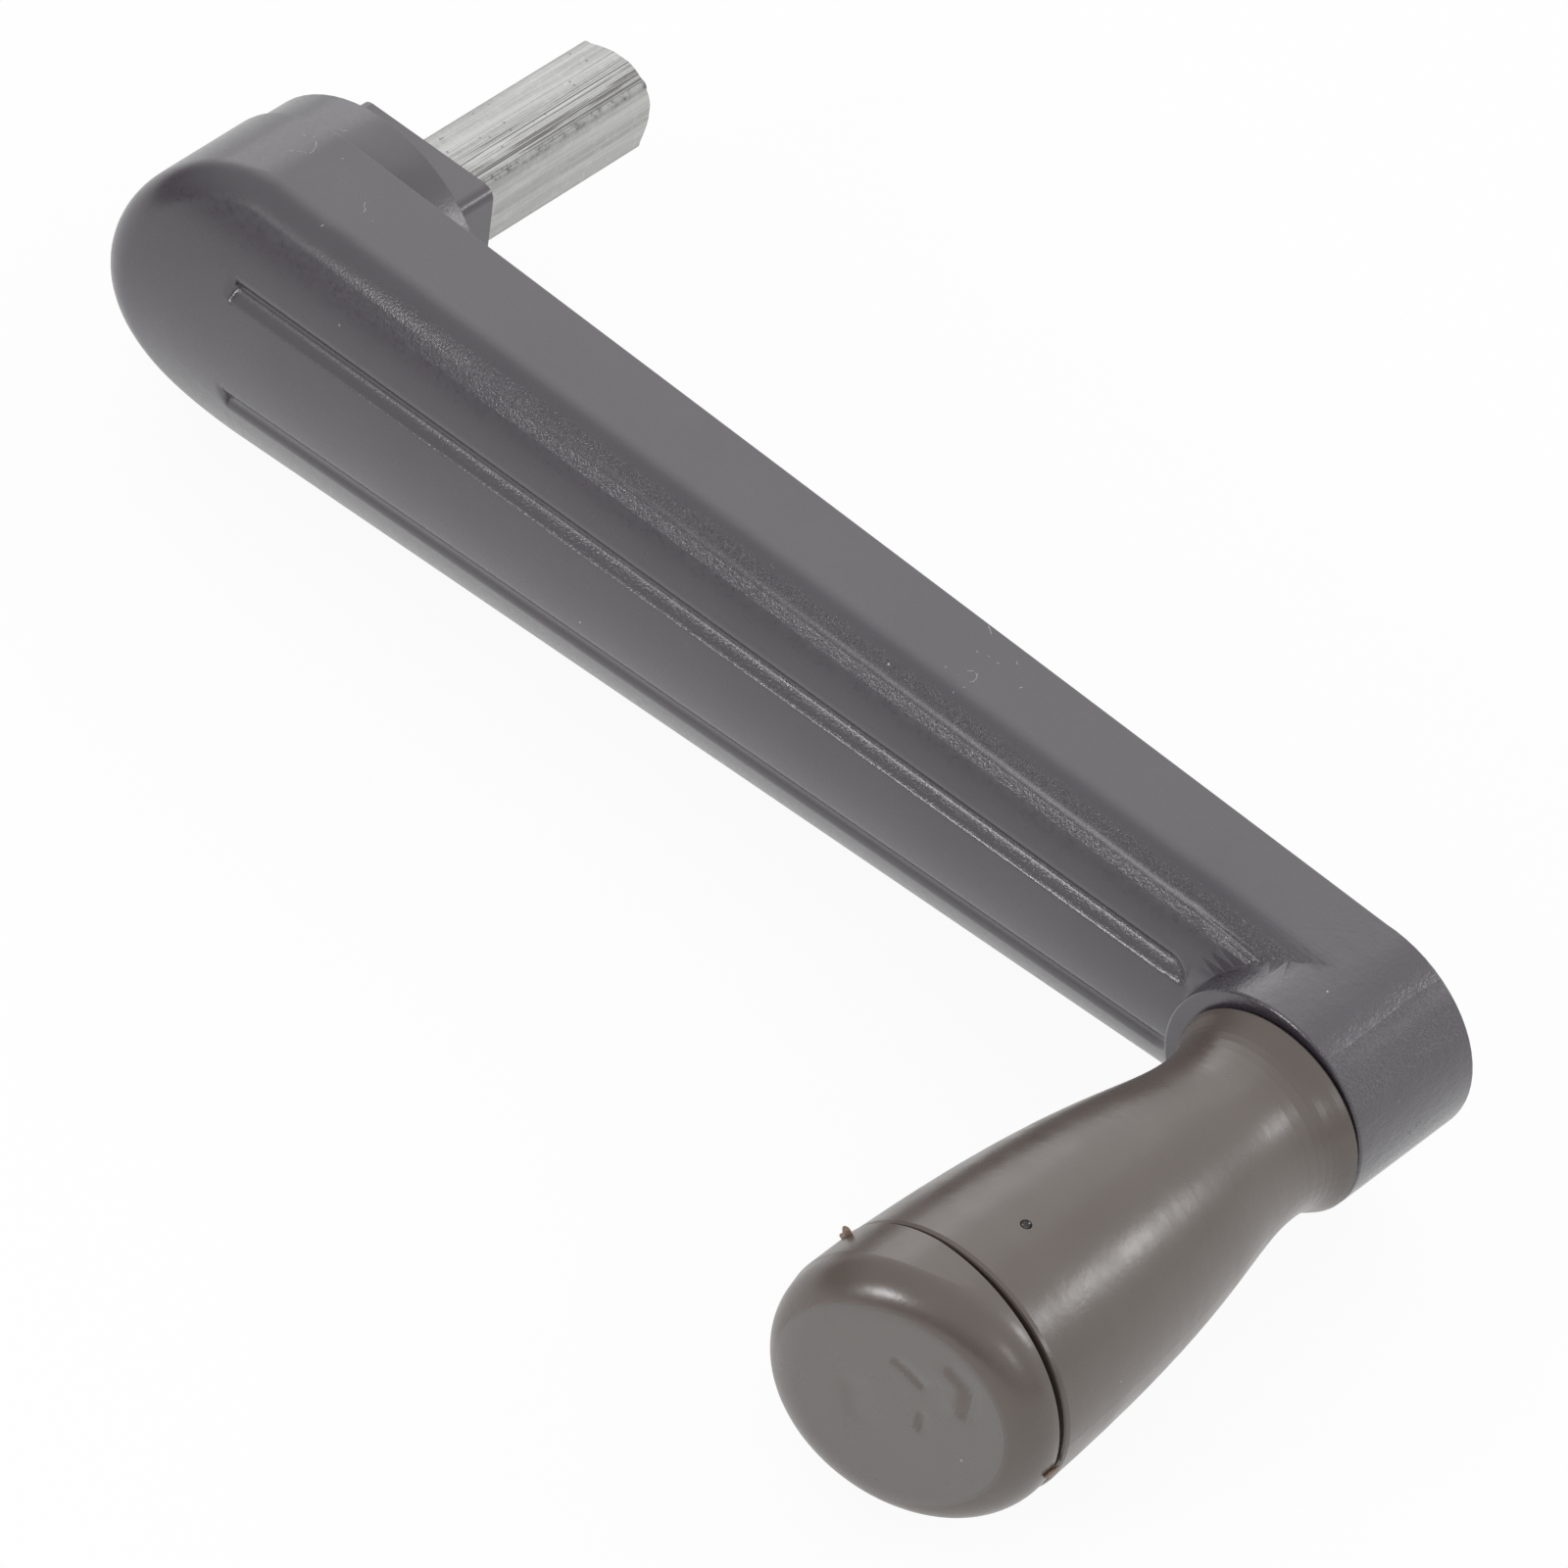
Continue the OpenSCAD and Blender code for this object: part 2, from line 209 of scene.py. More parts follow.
def arm_plastic():
    mat, t, s, co = material("arm_plastic")
    x, z = sep(t, co, 0), sep(t, co, 2)
    blotch = noise(t, co, 60, 3)
    fine = noise(t, co, 1500, 3, 0.6)
    grain = noise(t, co, 3000, 2, 0.7)
    wear = noise(t, co, 420, 5, 0.7, (1, 1, 2.2))
    dust = specks(t, co, 520, 0.975, 0.085)
    color = mix_color(t, ramp(t, blotch, 0.3, 0.7), (0.046, 0.039, 0.049), (0.054, 0.046, 0.057))
    color = mix_color(t, times(t, dust, 0.8), color, (0.6, 0.6, 0.61))
    link(t, color, s.inputs["Base Color"])
    s.inputs["Specular IOR Level"].default_value = 0.9
    s.inputs["Coat Weight"].default_value = 0.22
    s.inputs["Coat Roughness"].default_value = 0.2
    edge = times(t, band(t, 0.50, 0.86, 0.06), ramp(t, z, *GRAIN_Z, 0.3, 1.0))
    edge = times(t, edge, ramp(t, x, *GRAIN_X, 0.0, 1.0))
    end = ramp(t, x, *WORN_X)
    rough = ramp(t, fine, 0.3, 0.7, 0.26, 0.34, False)
    rough = math_node(t, "SUBTRACT", rough, times(t, edge, 0.03))
    rough = math_node(t, "SUBTRACT", rough, times(t, end, 0.04))
    link(t, rough, s.inputs["Roughness"])
    amount = math_node(t, "ADD", times(t, edge, 0.96), 0.04)
    grained = bump(t, times(t, grain, amount), 1.0, 0.0003)
    link(t, bump(t, times(t, wear, end), 0.5, 0.0003, grained), s.inputs["Normal"])
    return mat


# middle of the small pit that the mould's gate left on the grip, and where the painted shade in it starts;
# the pit isn't cut, its depth is only painted as shade
PIT = (0.15097, -0.07275, 0.01467)
PIT_SHADE_EDGE = (0.00075, 0.0005)
# the cap's end face is greyer where it lies past these places along the grip and faces forward
END_FACE_Y = (-0.082, -0.084)
END_FACE_AHEAD = (-0.9, -0.95)


def grip_plastic():
    mat, t, s, co = material("grip_plastic")
    blotch = noise(t, co, 45, 3)
    cloud = noise(t, co, 220, 4, 0.6)
    fine = noise(t, co, 900, 3, 0.6)
    dust = specks(t, co, 480, 0.99, 0.08)
    color = mix_color(t, ramp(t, blotch, 0.3, 0.7), (0.086, 0.066, 0.056), (0.099, 0.078, 0.067))
    face = times(t, ramp(t, facing(t, 1), *END_FACE_AHEAD), ramp(t, sep(t, co, 1), *END_FACE_Y))
    color = mix_color(t, times(t, face, 0.85), color, (0.128, 0.118, 0.112))
    color = mix_color(t, times(t, dust, 0.5), color, (0.5, 0.49, 0.47))
    pit = t.nodes.new("ShaderNodeVectorMath")
    pit.operation = "DISTANCE"
    link(t, co, pit.inputs[0])
    pit.inputs[1].default_value = PIT
    # painted shade: the pit's inside is painted near black, for the shade of a hole that the mesh doesn't
    # have
    pit_shade = ramp(t, pit.outputs["Value"], *PIT_SHADE_EDGE)
    color = mix_color(t, pit_shade, color, (0.012, 0.009, 0.008))
    link(t, color, s.inputs["Base Color"])
    link(t, ramp(t, cloud, 0.3, 0.7, 0.24, 0.34, False), s.inputs["Roughness"])
    s.inputs["Specular IOR Level"].default_value = 0.85
    cloudy = bump(t, cloud, 0.08, 0.0006)
    link(t, bump(t, fine, 0.06, 0.0002, cloudy), s.inputs["Normal"])
    return mat


# the drawn lines are strong on the bar's upper side from this x on, and its corner is dark past this x and z
DRAWN_X = (-0.0025, 0.002)
CORNER = (0.0041, 0.0045)


def bar_steel():
    mat, t, s, co = material("bar_steel")
    x, z = sep(t, co, 0), sep(t, co, 2)
    lines = noise(t, co, 3800, 2, 0.7, (1, 0.002, 1))
    broad = noise(t, co, 420, 3, 0.6, (1, 0.03, 1))
    broken = noise(t, co, 1200, 3, 0.6, (1, 0.06, 1))
    mottle = noise(t, co, 900, 4, 0.75)
    pits = specks(t, co, 1500, 0.86, 0.34)
    drawn = times(t, ramp(t, facing(t, 2), 0.6, 0.8), ramp(t, x, *DRAWN_X))
    corner = times(t, ramp(t, x, *CORNER), ramp(t, z, *CORNER))
    reach = math_node(t, "ADD", times(t, drawn, 0.72), 0.2)
    color = mix_color(t, ramp(t, broad, 0.35, 0.65), (0.40, 0.40, 0.393), (0.53, 0.53, 0.523))
    color = mix_color(t, ramp(t, mottle, 0.45, 0.72, 0, 0.55), color, (0.66, 0.66, 0.655))
    dark = times(t, ramp(t, lines, 0.475, 0.535), ramp(t, broken, 0.34, 0.5))
    color = mix_color(t, times(t, dark, reach), color, (0.13, 0.125, 0.12))
    color = mix_color(t, times(t, pits, 0.6), color, (0.14, 0.135, 0.13))
    rim = times(t, corner, ramp(t, mottle, 0.35, 0.5, 1.0, 0.35))
    color = mix_color(t, times(t, rim, 0.75), color, (0.08, 0.08, 0.085))
    link(t, color, s.inputs["Base Color"])
    s.inputs["Metallic"].default_value = 0.7
    link(t, ramp(t, mottle, 0.3, 0.7, 0.38, 0.58, False), s.inputs["Roughness"])
    lined = bump(t, times(t, lines, reach), 0.6, 0.00025)
    link(t, bump(t, mottle, 0.35, 0.0002, lined), s.inputs["Normal"])
    return mat


def pin_steel():
    mat, t, s, co = material("pin_steel")
    rings = noise(t, co, 900, 2, 0.5, (0.1, 1, 0.1))
    link(t, mix_color(t, rings, (0.5, 0.5, 0.51), (0.6, 0.6, 0.61)), s.inputs["Base Color"])
    s.inputs["Metallic"].default_value = 1.0
    link(t, ramp(t, rings, 0.3, 0.7, 0.25, 0.4, False), s.inputs["Roughness"])
    return mat


# plastic whitened by a knock
def scuffed():
    mat, t, s, co = material("scuffed_plastic")
    tone = noise(t, co, 2600, 2, 0.6)
    color = mix_color(t, ramp(t, tone, 0.35, 0.65), (0.22, 0.22, 0.225), (0.42, 0.42, 0.43))
    link(t, color, s.inputs["Base Color"])
    link(t, ramp(t, tone, 0.3, 0.7, 0.45, 0.65, False), s.inputs["Roughness"])
    link(t, bump(t, tone, 0.4, 0.0001), s.inputs["Normal"])
    return mat


# thin flash lets more brown through than the grip does
def flash_plastic():
    mat, t, s, co = material("flash_plastic")
    tone = noise(t, co, 1200, 3, 0.6)
    color = mix_color(t, ramp(t, tone, 0.3, 0.7), (0.15, 0.095, 0.065), (0.24, 0.165, 0.12))
    link(t, color, s.inputs["Base Color"])
    link(t, ramp(t, tone, 0.3, 0.7, 0.3, 0.45, False), s.inputs["Roughness"])
    link(t, bump(t, tone, 0.3, 0.0002), s.inputs["Normal"])
    return mat


def dress(name, mat):
    obj = nodes[name]
    obj.data.materials.clear()
    obj.data.materials.append(mat)


def copy_of(name, new_name, body, mat):
    mesh = nodes[name].data.copy()
    mesh.name = new_name
    mesh.materials.clear()
    mesh.materials.append(mat)
    obj = bpy.data.objects.new(new_name, mesh)
    bpy.context.collection.objects.link(obj)
    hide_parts(name)
    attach(obj, body)
    return obj


# a copy's mesh opened for changes, with its vertices joined
def open_mesh(obj):
    bm = bmesh.new()
    bm.from_mesh(obj.data)
    bmesh.ops.remove_doubles(bm, verts=bm.verts, dist=WELD)
    return bm


# puts the changed mesh back, smooth up to the given angle in degrees
def close_mesh(bm, obj, angle):
    bm.normal_update()
    bm.to_mesh(obj.data)
    bm.free()
    obj.data.shade_smooth()
    obj.data.set_sharp_from_angle(angle=math.radians(angle))


def round_edges(bm, edges, width, clamp):
    bmesh.ops.bevel(bm, geom=edges, offset=width, offset_type="OFFSET", segments=4, profile=0.5,
                    affect="EDGES", clamp_overlap=clamp)


# large flat faces stay flat beside rounded corners
def weigh_normals(obj):
    mod = obj.modifiers.new("normals", "WEIGHTED_NORMAL")
    mod.keep_sharp = True
    mod.weight = 50


# the arm's front as in the part's source, in mm; a pair holds at the bar's axis and at the grip's axis
CENTRE_DISTANCE = 150
ARM_BACK = 13.75
HALF_WIDTH = (18.55, 13.15)
RIDGE = (18.45, 14.6)
CROWN_RADIUS = (31.5, 21)
CORNER_RADIUS = 4.9
# how much narrower the draft makes the arm at its corners
DRAFT_IN = 0.108
LIP_RADIUS = 1.5
GROOVE_DEPTH = 1.5
# half height of the panel and of the lip, at the CAD grooves' start and end
PANEL = (5.95, 4.05)
LIP = (7.5, 5.2)
# where the grooves start and end: in the CAD model, and on the real arm
CAD_GROOVE = (8.6, 132.5)
REAL_GROOVE = (1.0, 135.4)
# the grooves open over the first length and close over the second, with sections this far from their end
OPENING = 0.25
CLOSING = 3
RUN_OUT = (2.6, 2.15, 1.7, 1.25, 0.85, 0.5, 0.22)
# the real lower groove is further out and shallower
LOWER_OUT = 0.65
LOWER_DEPTH = 1.1
# steps of a half section: outside the lip, round it, up to the panel's edge, and over the panel
OUTER_STEPS = 4
LIP_STEPS = 6
VALLEY_STEPS = 5
PANEL_STEPS = 6
EDGE_POINT = OUTER_STEPS + LIP_STEPS + VALLEY_STEPS - 1
# a vertex further than this from its place in the CAD model isn't the one looked for, in metres
SNAP = 4e-5


def blend_value(a, b, t):
    return a + (b - a) * t


# half section of the arm's front at x, as (height, depth) from the corner to the ridge; q opens the groove
# from 0 to 1, or is None where there is no groove, and out widens the panel
def front_points(x, q, out=0.0, deep=GROOVE_DEPTH):
    t = x / CENTRE_DISTANCE
    crown, width, ridge = (blend_value(*pair, t) for pair in (CROWN_RADIUS, HALF_WIDTH, RIDGE))
    middle = ridge - crown
    meet = math.asin((width - DRAFT_IN - CORNER_RADIUS) / (crown - CORNER_RADIUS))
    along = (x - CAD_GROOVE[0]) / (CAD_GROOVE[1] - CAD_GROOVE[0])
    panel = blend_value(*PANEL, along) + out
    panel_angle = math.asin(panel / crown)
    panel_depth = middle + crown * math.cos(panel_angle)

    def on_crown(a, b, n):
        steps = [blend_value(a, b, i / n) for i in range(1, n + 1)]
        return [(crown * math.sin(v), middle + crown * math.cos(v)) for v in steps]

    def lip(q):
        inner = blend_value(panel - 1.15 * LIP_RADIUS, blend_value(*LIP, along) + out, q)
        angle = math.asin((inner + LIP_RADIUS) / (crown - LIP_RADIUS))
        return inner, angle, middle + (crown - LIP_RADIUS) * math.cos(angle)

    _, open_angle, open_depth = lip(1)
    if q is None:
        points = on_crown(meet, open_angle, OUTER_STEPS)
        points += on_crown(open_angle, panel_angle, LIP_STEPS + VALLEY_STEPS)
    else:
        inner, angle, depth = lip(q)
        lowest = -math.acos(min(1.0, (panel_depth - deep - open_depth) / LIP_RADIUS))
        valley = blend_value(angle, lowest, q)
        points = on_crown(meet, angle, OUTER_STEPS)
        for i in range(1, LIP_STEPS + 1):
            a = blend_value(angle, valley, i / LIP_STEPS)
            points.append((inner + LIP_RADIUS * (1 + math.sin(a)), depth + LIP_RADIUS * math.cos(a)))
        low = points[-1]
        for i in range(1, VALLEY_STEPS + 1):
            left = 1 - i / VALLEY_STEPS
            drop = (panel_depth - low[1]) * (1 - (1 - left) ** 2)
            points.append((blend_value(panel, low[0], left), panel_depth - drop))
    return points + on_crown(panel_angle, 0, PANEL_STEPS)


# the grooves' stations as (x in the CAD model, x on the real arm, how open they are)
def groove_stations():
    (cad_start, cad_end), (start, end) = CAD_GROOVE, REAL_GROOVE
    stations = [(cad_start, start, None), (cad_start + OPENING, start + OPENING, 1)]
    stations.append((cad_end - CLOSING, end - CLOSING, 1))
    for left in RUN_OUT:
        stations.append((cad_end - left, end - left, math.sqrt(1 - (1 - left / CLOSING) ** 2)))
    return stations + [(cad_end, end, None)]


# a section's point on the arm's upper (1) or lower (-1) half, in metres
def on_arm(x, point, side):
    return Vector((x, -ARM_BACK - point[1], side * point[0])) * MM


# the arm with its grooves at their full length and the panel's edges slightly rounded
def make_arm(mat):
    obj = copy_of("arm", "arm_body", "handle", mat)
    bm = open_mesh(obj)
    behind = -(ARM_BACK - 0.25) * MM
    back = [e for e in bm.edges if min(v.co.y for v in e.verts) > behind
            or all(f.normal.y > 0.5 for f in e.link_faces)]
    bmesh.ops.dissolve_limit(bm, angle_limit=math.radians(0.3), verts=[], edges=back)
    tree = KDTree(len(bm.verts))
    for i, v in enumerate(bm.verts):
        tree.insert(v.co, i)
    tree.balance()
    bm.verts.ensure_lookup_table()
    edge_verts = set()
    for old, new, q in groove_stations():
        upper, lower = front_points(new, q), front_points(new, q, LOWER_OUT, LOWER_DEPTH)
        for k, a in enumerate(front_points(old, q)):
            for side, b in ((1, upper[k]), (-1, lower[k])):
                _, i, far = tree.find(on_arm(old, a, side))
                if far > SNAP:
                    continue
                bm.verts[i].co = on_arm(new, b, side)
                if k == EDGE_POINT and q is not None:
                    edge_verts.add(bm.verts[i])
    edges = []
    for e in bm.edges:
        a, b = e.verts
        if a in edge_verts and b in edge_verts and abs(a.co.x - b.co.x) > 0.01 * MM and a.co.z * b.co.z > 0:
            edges.append(e)
    round_edges(bm, edges, 0.42 * MM, False)
    close_mesh(bm, obj, 28)
    weigh_normals(obj)
    return obj


# gives the copy the CAD mesh's own corner normals, except round the vertices that moved
def keep_normals(mesh, source, moved):
    tree = KDTree(len(source.loops))
    owner = {}
    for poly in source.polygons:
        for i in poly.loop_indices:
            tree.insert(source.vertices[source.loops[i].vertex_index].co, i)
            owner[i] = poly
    tree.balance()
    corners = [n.vector.copy() for n in source.corner_normals]
    normals = [n.vector.copy() for n in mesh.corner_normals]
    for poly in mesh.polygons:
        for i in poly.loop_indices:
            v = mesh.vertices[mesh.loops[i].vertex_index]
            if v.index in moved:
                normals[i] = v.normal.copy()
                continue
            near = [k for _, k, _ in tree.find_range(v.co, WELD)]
            if near:
                normals[i] = corners[max(near, key=lambda k: (owner[k].normal.dot(poly.normal), k))]
    mesh.normals_split_custom_set(normals)


# soft dents in the cap's end face: (depth, width, points as x and z in mm)
CAP_DENTS = (
    (0.2, 0.55, ((150.2, 6.4), (151.2, 6.1), (152.1, 5.5), (152.95, 4.9))),
    (0.22, 0.85, ((155.8, 8.7), (156.9, 8.1), (157.7, 7.5), (158.1, 6.6), (158.1, 5.2), (157.8, 3.7))),
    (0.2, 0.5, ((153.7, 0.9), (153.7, 0.2), (153.9, -0.6))),
    (0.16, 1.5, ((146.6, 0.6), (147.2, -1.2), (147.6, -2.4))),
    (-0.16, 1.2, ((154.6, 7.2), (155.8, 6.2), (156.0, 4.6))),
    (0.05, 2.6, ((150.4, -4.5), (153.5, -5.6))),
)
# the end face lies past this y, and its direction and middle are these, in mm
CAP_FACE_Y = -80
CAP_FACE_NORMAL = (0.27, -0.96, 0.06)
CAP_FACE_X = 150.6
# no dent past the first radius from the middle, and full ones within the second
DENT_RADII = (11.5, 9.0)
# the face is cut into squares of this side, so many along x and z, from these places on
GRID_SIDE = 0.4
GRID_COUNT = 50
GRID_START = ((0, 141.0), (2, -9.0))


# distance of a point from a chain of points
def away(x, z, points):
    best = math.inf
    for (ax, az), (bx, bz) in zip(points, points[1:]):
        dx, dz = bx - ax, bz - az
        t = max(0.0, min(1.0, ((x - ax) * dx + (z - az) * dz) / (dx * dx + dz * dz)))
        best = min(best, math.hypot(x - ax - t * dx, z - az - t * dz))
    return best


def dent_depth(x, z):
    deep = sum(d * math.exp(-(away(x, z, p) / w) ** 2) for d, w, p in CAP_DENTS)
    far, near = DENT_RADII
    return deep * max(0.0, min(1.0, (far - math.hypot(x - CAP_FACE_X, z)) / (far - near)))


# the cap with its end face cut into a grid and dented
def make_cap(mat):
    obj = copy_of("end_cap", "cap_body", "grip", mat)
    bm = open_mesh(obj)
    face_y = CAP_FACE_Y * MM
    for axis, first in GRID_START:
        for i in range(GRID_COUNT):
            at = Vector()
            at[axis] = (first + i * GRID_SIDE) * MM
            no = Vector()
            no[axis] = 1
            faces = [f for f in bm.faces if f.normal.y < -0.93 and f.calc_center_median().y < face_y]
            verts = {v for f in faces for v in f.verts}
            edges = {e for f in faces for e in f.edges}
            bmesh.ops.bisect_plane(bm, geom=[*verts, *edges, *faces], plane_co=at, plane_no=no, dist=1e-7)
    normal = Vector(CAP_FACE_NORMAL).normalized()
    bm.verts.index_update()
    moved = set()
    for v in bm.verts:
        if v.co.y > face_y or v.normal.y > -0.9:
            continue
        deep = dent_depth(v.co.x / MM, v.co.z / MM)
        if abs(deep) > 0.0005:
            v.co -= normal * deep * MM
            moved.add(v.index)
    close_mesh(bm, obj, 32)
    keep_normals(obj.data, nodes["end_cap"].data, moved)


# how far the bar stands out, how near its end an edge is worn, and the wear's width, in mm
BAR_OUT = 31.6
BAR_WORN = 1.3
BAR_WEAR = 0.5


# the bar with its end's edges rounded by use
def make_bar(mat):
    obj = copy_of("drive_bar", "bar_worn", "handle", mat)
    bm = open_mesh(obj)
    bmesh.ops.dissolve_limit(bm, angle_limit=math.radians(1), verts=bm.verts, edges=bm.edges)
    edges = []
    for e in bm.edges:
        a, b = (v.co.y for v in e.verts)
        across = abs(a - b) < 0.2 * MM and min(a, b) > (BAR_OUT - BAR_WORN) * MM
        if across and len(e.link_faces) == 2 and e.calc_face_angle() > math.radians(18):
            edges.append(e)
    round_edges(bm, edges, BAR_WEAR * MM, True)
    close_mesh(bm, obj, 35)
    weigh_normals(obj)


# finds where the camera's ray through a point of the photograph's frame meets the object
class Aim:
    def __init__(self, obj):
        bm = bmesh.new()
        bm.from_mesh(obj.data)
        self.tree = BVHTree.FromBMesh(bm)
        bm.free()
        cam = bpy.context.scene.camera
        self.turn = cam.matrix_world.to_3x3()
        self.eye = cam.matrix_world.translation.copy()
        self.lens = cam.data.lens / cam.data.sensor_width

    def hit(self, px, py):
        ray = self.turn @ Vector((px / FRAME - 0.5, 0.5 - py / FRAME, -self.lens))
        place, normal, _, _ = self.tree.ray_cast(self.eye, ray.normalized())
        return place, normal


# a low closed ridge along points that lie on a surface, sunk a little into it
def add_ridge(bm, points, width, height):
    last = len(points) - 1
    rings = []
    for i, (p, n) in enumerate(points):
        along = (points[min(i + 1, last)][0] - points[max(i - 1, 0)][0]).normalized()
        side = n.cross(along).normalized()
        sunk = n * height * 0.4
        tip = along * width * 0.6
        wide = side * width * (0.42 if i % 2 else 0.55)
        if i == 0:
            rings.append([bm.verts.new(p - tip - sunk)])
        ring = (p - wide - sunk, p + n * height, p + wide - sunk, p - n * height)
        rings.append([bm.verts.new(co) for co in ring])
        if i == last:
            rings.append([bm.verts.new(p + tip - sunk)])
    for a, b in zip(rings, rings[1:]):
        for k in range(4):
            m = (k + 1) % 4
            if len(a) == 1:
                bm.faces.new((a[0], b[m], b[k]))
            elif len(b) == 1:
                bm.faces.new((a[k], a[m], b[0]))
            else:
                bm.faces.new((a[k], a[m], b[m], b[k]))


def mesh_piece(name, bm, body, mat):
    bmesh.ops.recalc_face_normals(bm, faces=bm.faces)
    mesh = bpy.data.meshes.new(name)
    bm.to_mesh(mesh)
    bm.free()
    mesh.shade_smooth()
    mesh.materials.append(mat)
    obj = bpy.data.objects.new(name, mesh)
    bpy.context.collection.objects.link(obj)
    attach(obj, body)


# scratches and burrs on the arm, as points of the camera's frame in pixels; dots are single points
ARM_LINES = (
    ((987.4, 684.9), (992.6, 684.4), (997.2, 688.4), (996, 693), (992.6, 695.8), (987.9, 695.8)),
    ((1008.5, 638.5), (1010.5, 643), (1011.5, 647)),
    ((346.8, 131.4), (350.9, 134.1), (354.4, 133)),
    ((308.8, 136.8), (314.3, 139.5), (318.3, 140.3), (322.4, 139.5)),
    ((322.9, 144.4), (321.9, 149.8), (319.1, 154.7), (315.6, 156.6)),
    ((292.6, 154.7), (299.3, 153.6), (306.1, 154.7), (312.9, 155.8)),
    ((372.6, 206.8), (371.2, 210.9), (372.9, 213.6), (371.2, 216.3)),
    ((1445.4, 1149.8), (1448.5, 1146.7), (1451, 1145.1)),
)
ARM_DOTS = ((978.6, 689.5), (983.3, 701.2), (972.8, 706.3), (1008.8, 669.8), (997.2, 665.1), (1018, 676.7),
            (1037.9, 676.3), (1041.9, 701.6), (965, 680.7), (349.5, 162), (379.9, 225.3), (329.2, 229.9),
            (1426.8, 1124), (1439.2, 1156))
# width of a line, width and half length of a dot, and height of both, in metres
LINE_WIDTH = 0.00017
DOT_WIDTH = 0.00018
DOT_HALF = (0.00008, 0.00018)
MARK_HEIGHT = 0.00005


def random_vector(rng, reach):
    return Vector((rng.uniform(-reach, reach), rng.uniform(-reach, reach), rng.uniform(-reach, reach)))


def make_marks(arm, mat):
    aim = Aim(arm)
    rng = random.Random(7)
    bm = bmesh.new()
    for line in ARM_LINES:
        add_ridge(bm, [aim.hit(*p) for p in line], LINE_WIDTH, MARK_HEIGHT)
    for dot in ARM_DOTS:
        p, n = aim.hit(*dot)
        turn = random_vector(rng, 1).cross(n).normalized()
        half = turn * rng.uniform(*DOT_HALF)
        add_ridge(bm, [(p - half, n), (p + half, n)], DOT_WIDTH, MARK_HEIGHT)
    mesh_piece("arm_marks", bm, "handle", mat)


# a lumpy bit of flash: a squashed ball whose points are pushed about, placed in mm
def add_lump(bm, at, axes, seed):
    rng = random.Random(seed)
    made = bmesh.ops.create_icosphere(bm, subdivisions=3, radius=1.0)["verts"]
    waves = [(random_vector(rng, 3), rng.uniform(0, 6)) for _ in range(5)]
    for v in made:
        push = 1 + 0.13 * sum(math.sin(v.co.dot(w) + f) for w, f in waves)
        v.co = (at + sum((axes[k] * v.co[k] * push for k in range(3)), Vector())) * MM


# flash at the cap's seam: two joined lumps at its upper left, and one at its lower right
def make_flash(mat):
    bm = bmesh.new()
    middle = Vector((CENTRE_DISTANCE, 0, 0))
    along = Vector((0, 1, 0))
    high = Vector((-0.81, 0, 0.58))
    side = high.cross(along)
    low = Vector((0.985, 0, -0.17))
    add_lump(bm, middle + high * 15.75 - along * 82.3, (high * 0.75, along * 0.28, side * 0.8), 3)
    add_lump(bm, middle + high * 15.5 + side * 0.9 - along * 82.2, (high * 0.5, along * 0.2, side * 0.8), 5)
    add_lump(bm, middle + low * 15.35 - along * 81.5, (low * 0.28, along * 0.8, low.cross(along) * 0.5), 9)
    mesh_piece("grip_flash", bm, "grip", mat)


# half the floor's side in metres, and how white it is where it is seen, which leaves the shadow faint
FLOOR_HALF = 2.0
FLOOR_WHITE = 0.93


def make_floor():
    a, z = FLOOR_HALF, cad_lo[2]
    mesh = bpy.data.meshes.new("floor")
    mesh.from_pydata([(-a, -a, z), (a, -a, z), (a, a, z), (-a, a, z)], [], [(0, 1, 2, 3)])
    floor = bpy.data.objects.new("floor", mesh)
    bpy.context.collection.objects.link(floor)
    mat = bpy.data.materials.new("floor")
    t = empty_tree(mat)
    out = t.nodes.new("ShaderNodeOutputMaterial")
    diffuse = t.nodes.new("ShaderNodeBsdfDiffuse")
    diffuse.inputs["Color"].default_value = (0.85, 0.85, 0.85, 1)
    glow = t.nodes.new("ShaderNodeEmission")
    glow.inputs["Color"].default_value = (1, 1, 1, 1)
    glow.inputs["Strength"].default_value = 1.0
    path = t.nodes.new("ShaderNodeLightPath")
    seen = math_node(t, "MAXIMUM", path.outputs["Is Camera Ray"], path.outputs["Is Transmission Ray"])
    seen = math_node(t, "MAXIMUM", seen, path.outputs["Is Glossy Ray"])
    mix = t.nodes.new("ShaderNodeMixShader")
    link(t, times(t, seen, FLOOR_WHITE), mix.inputs[0])
    link(t, diffuse.outputs[0], mix.inputs[1])
    link(t, glow.outputs[0], mix.inputs[2])
    link(t, mix.outputs[0], out.inputs[0])
    floor.data.materials.append(mat)


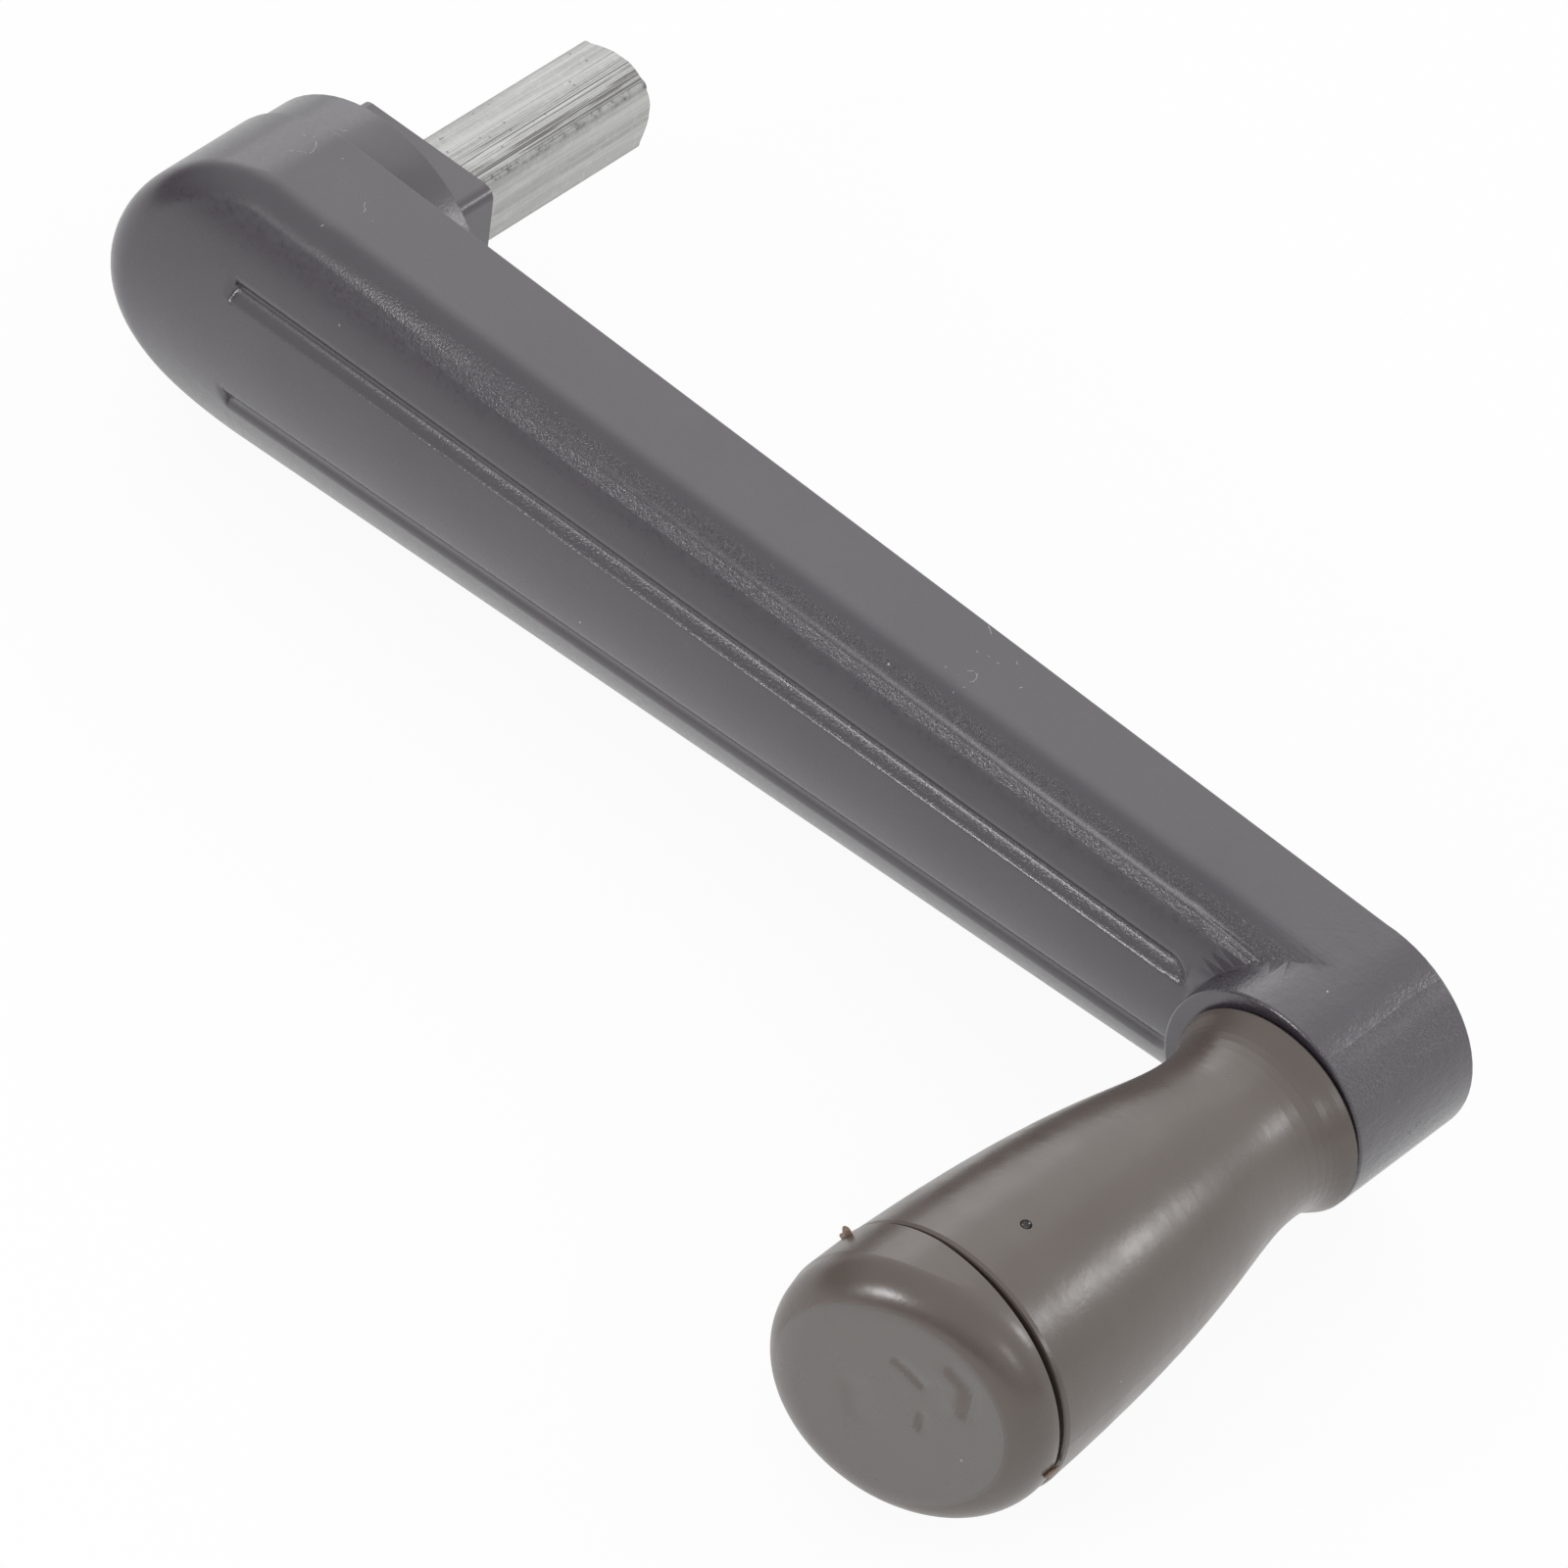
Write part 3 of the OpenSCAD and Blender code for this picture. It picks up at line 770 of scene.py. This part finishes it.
# white to the camera; as light it is darker in front of the part than behind it and to its right
def make_world():
    world = bpy.data.worlds.new("world")
    bpy.context.scene.world = world
    t = empty_tree(world)
    out = t.nodes.new("ShaderNodeOutputWorld")
    sky = t.nodes.new("ShaderNodeBackground")
    coords = t.nodes.new("ShaderNodeTexCoord")
    x, y, z = (sep(t, coords.outputs["Generated"], k) for k in range(3))
    ahead = ramp(t, z, 0.04, 0.7, 0.03, 0.8)
    behind = ramp(t, z, -0.1, 0.45, 0.8, 1.08)
    share = math_node(t, "MAXIMUM", ramp(t, y, 0.0, 0.55), ramp(t, x, 0.35, 0.9, 0.0, 0.6))
    rest = math_node(t, "SUBTRACT", 1.0, share)
    level = math_node(t, "ADD", times(t, share, behind), times(t, rest, ahead))
    link(t, level, sky.inputs["Color"])
    sky.inputs["Strength"].default_value = 1.0
    white = t.nodes.new("ShaderNodeBackground")
    white.inputs["Strength"].default_value = 1.0
    path = t.nodes.new("ShaderNodeLightPath")
    mix = t.nodes.new("ShaderNodeMixShader")
    link(t, path.outputs["Is Camera Ray"], mix.inputs[0])
    link(t, sky.outputs[0], mix.inputs[1])
    link(t, white.outputs[0], mix.inputs[2])
    link(t, mix.outputs[0], out.inputs[0])


# a soft round or oval lamp seen from the target at a given brightness, with its sizes in metres
def lamp(name, direction, distance, size, level, tall=None, target=(0.09, -0.03, 0)):
    tall = tall or size
    data = bpy.data.lights.new(name, "AREA")
    data.shape = "ELLIPSE"
    data.size = size
    data.size_y = tall
    data.energy = level * math.pi * math.pi * size * tall / 4
    obj = bpy.data.objects.new(name, data)
    bpy.context.collection.objects.link(obj)
    d = Vector(direction).normalized()
    obj.location = Vector(target) + d * distance
    obj.rotation_euler = d.to_track_quat("Z", "Y").to_euler()


make_camera()
make_floor()
make_world()
lamp("key", (-0.28, -0.87, 0.41), 0.9, 0.23, 22.0, 0.17, (0.12, -0.03, 0))
lamp("right_back", (0.575, 0.66, 0.48), 1.0, 0.22, 8.0)
lamp("left_back", (-0.75, 0.57, 0.34), 1.0, 0.5, 0.7)
lamp("right", (0.85, -0.20, 0.49), 1.0, 0.22, 3.0)
lamp("top", (-0.45, 0.56, 0.70), 1.2, 1.1, 0.35)

grip_mat = grip_plastic()
arm_body = make_arm(arm_plastic())
make_cap(grip_mat)
make_marks(arm_body, scuffed())
make_flash(flash_plastic())
make_bar(bar_steel())
pin_mat = pin_steel()
dress("grip_pin", pin_mat)
dress("pin_washer", pin_mat)
dress("grip_sleeve", grip_mat)

bpy.context.scene.view_settings.view_transform = "Standard"
